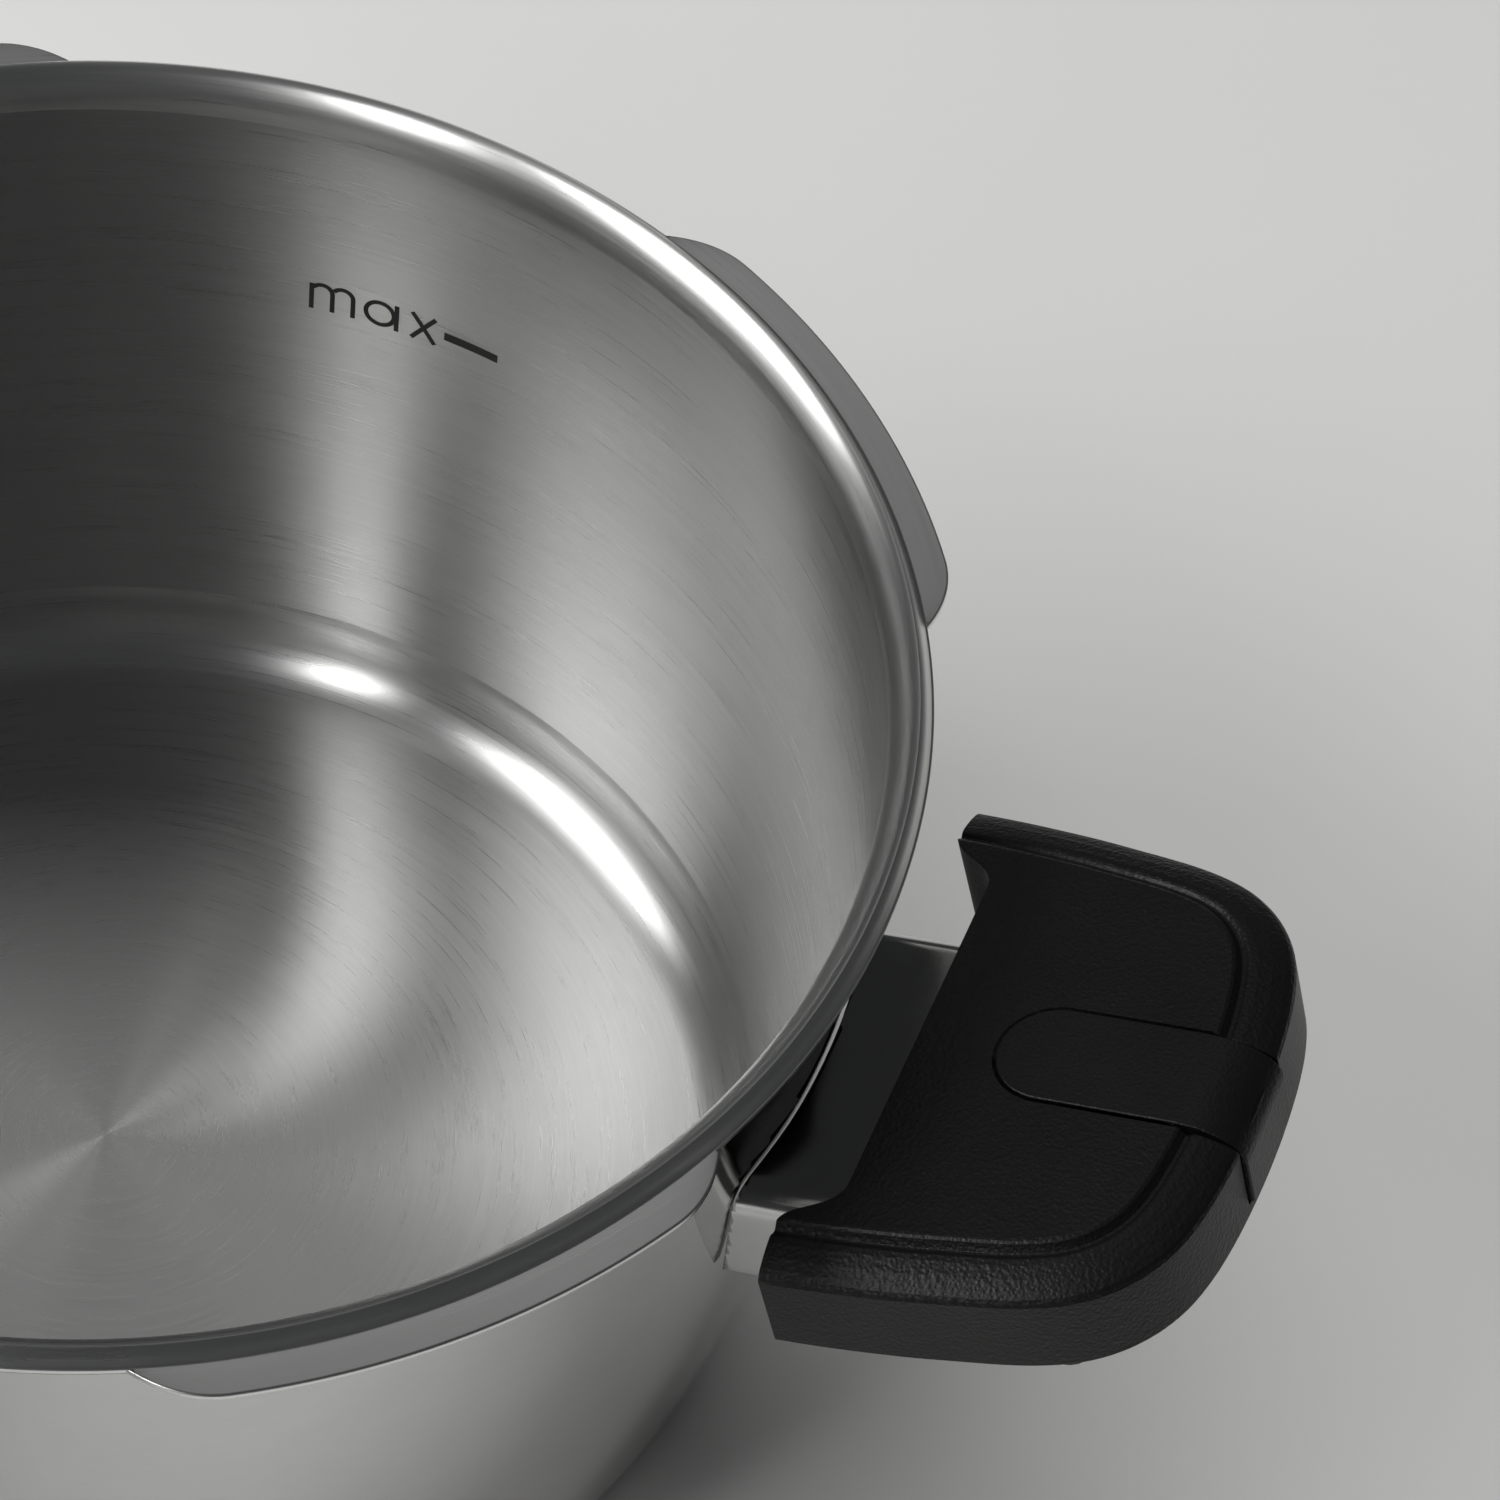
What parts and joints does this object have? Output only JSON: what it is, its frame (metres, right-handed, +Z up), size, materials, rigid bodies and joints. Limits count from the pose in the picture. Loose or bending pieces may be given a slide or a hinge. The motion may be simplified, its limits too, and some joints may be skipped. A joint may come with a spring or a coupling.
{
  "type": "stovetop pressure cooker",
  "caption": "Open steel pressure cooker pot with a bayonet rim and black side handles, its valved lid turned over beside it.",
  "frame": {"origin": "middle of the pot's underside, on the surface it stands on", "axes": "+Z up along the pot axis, +X along the two side handles, +Y away from the turned-over lid"},
  "size_m": [0.4364, 0.4763, 0.1283],
  "materials": {
    "pot_steel": "brushed inside, polished rim and outside",
    "base_steel": "brushed",
    "lid_steel": "polished outside, brushed inside",
    "polished_steel": "mirror polished pressed steel",
    "aluminium": "plain",
    "black_grip": "fine-grained matte moulding",
    "black_cover": "matte moulding",
    "black_inlay": "satin moulding",
    "plated_steel": "zinc plated",
    "spring_wire": "spring wire",
    "silicone": "grey silicone"
  },
  "bodies": {
    "pot": {"pot_body": "pot_steel", "base_core": "aluminium", "base_cap": "base_steel", "bracket_right": "polished_steel", "grip_upper_right": "black_grip", "grip_lower_right": "black_cover", "grip_inlay_right": "black_inlay", "grip_screw_right_1": "plated_steel", "grip_screw_right_2": "plated_steel", "bracket_left": "polished_steel", "grip_upper_left": "black_grip", "grip_lower_left": "black_cover", "grip_inlay_left": "black_inlay", "grip_screw_left_1": "plated_steel", "grip_screw_left_2": "plated_steel"},
    "lid_seal": {"lid_gasket": "silicone"},
    "lid": {"lid_shell": "lid_steel", "lid_handle_body": "black_grip", "lid_handle_cover": "black_cover", "lid_handle_screw_1": "plated_steel", "lid_handle_screw_2": "plated_steel", "regulator_body": "plated_steel", "regulator_seal": "silicone", "regulator_nut": "plated_steel", "vent_spring": "spring_wire", "indicator_bush": "plated_steel", "safety_body": "plated_steel", "safety_seal": "silicone", "safety_nut": "plated_steel", "safety_cap": "plated_steel", "safety_spring": "spring_wire"},
    "selector_knob": {"selector_knob": "black_grip"},
    "vent_poppet": {"vent_poppet": "plated_steel"},
    "indicator_pin": {"indicator_pin": "plated_steel", "indicator_seal": "silicone"},
    "safety_plunger": {"safety_plunger": "plated_steel"}
  },
  "joints": [
    {"name": "lid_flip", "type": "hinge", "parent": "pot", "child": "lid_seal", "pos_m": [-0.0675, -0.11691, 0.095], "axis": [-0.866, 0.5, 0], "range_deg": [0, 180]},
    {"name": "lid_turn", "type": "hinge", "parent": "lid_seal", "child": "lid", "pos_m": [-0.135, -0.23383, 0.062], "axis": [0, 0, 1], "range_deg": [0, 45]},
    {"name": "selector_turn", "type": "hinge", "parent": "lid", "child": "selector_knob", "pos_m": [-0.18909, -0.21933, 0.02], "axis": [0, 0, 1], "range_deg": [0, 135]},
    {"name": "vent_lift", "type": "slide", "parent": "lid", "child": "vent_poppet", "axis": [0, 0, -1], "range_m": [0, 0.0015], "stiffness_N_per_m": 800, "springref_m": -0.004, "deforming": ["vent_spring"]},
    {"name": "indicator_rise", "type": "slide", "parent": "lid", "child": "indicator_pin", "axis": [0, 0, 1], "range_m": [0, 0.006]},
    {"name": "safety_lift", "type": "slide", "parent": "lid", "child": "safety_plunger", "axis": [0, 0, -1], "range_m": [0, 0.002], "stiffness_N_per_m": 1200, "springref_m": -0.005, "deforming": ["safety_spring"]}
  ]
}
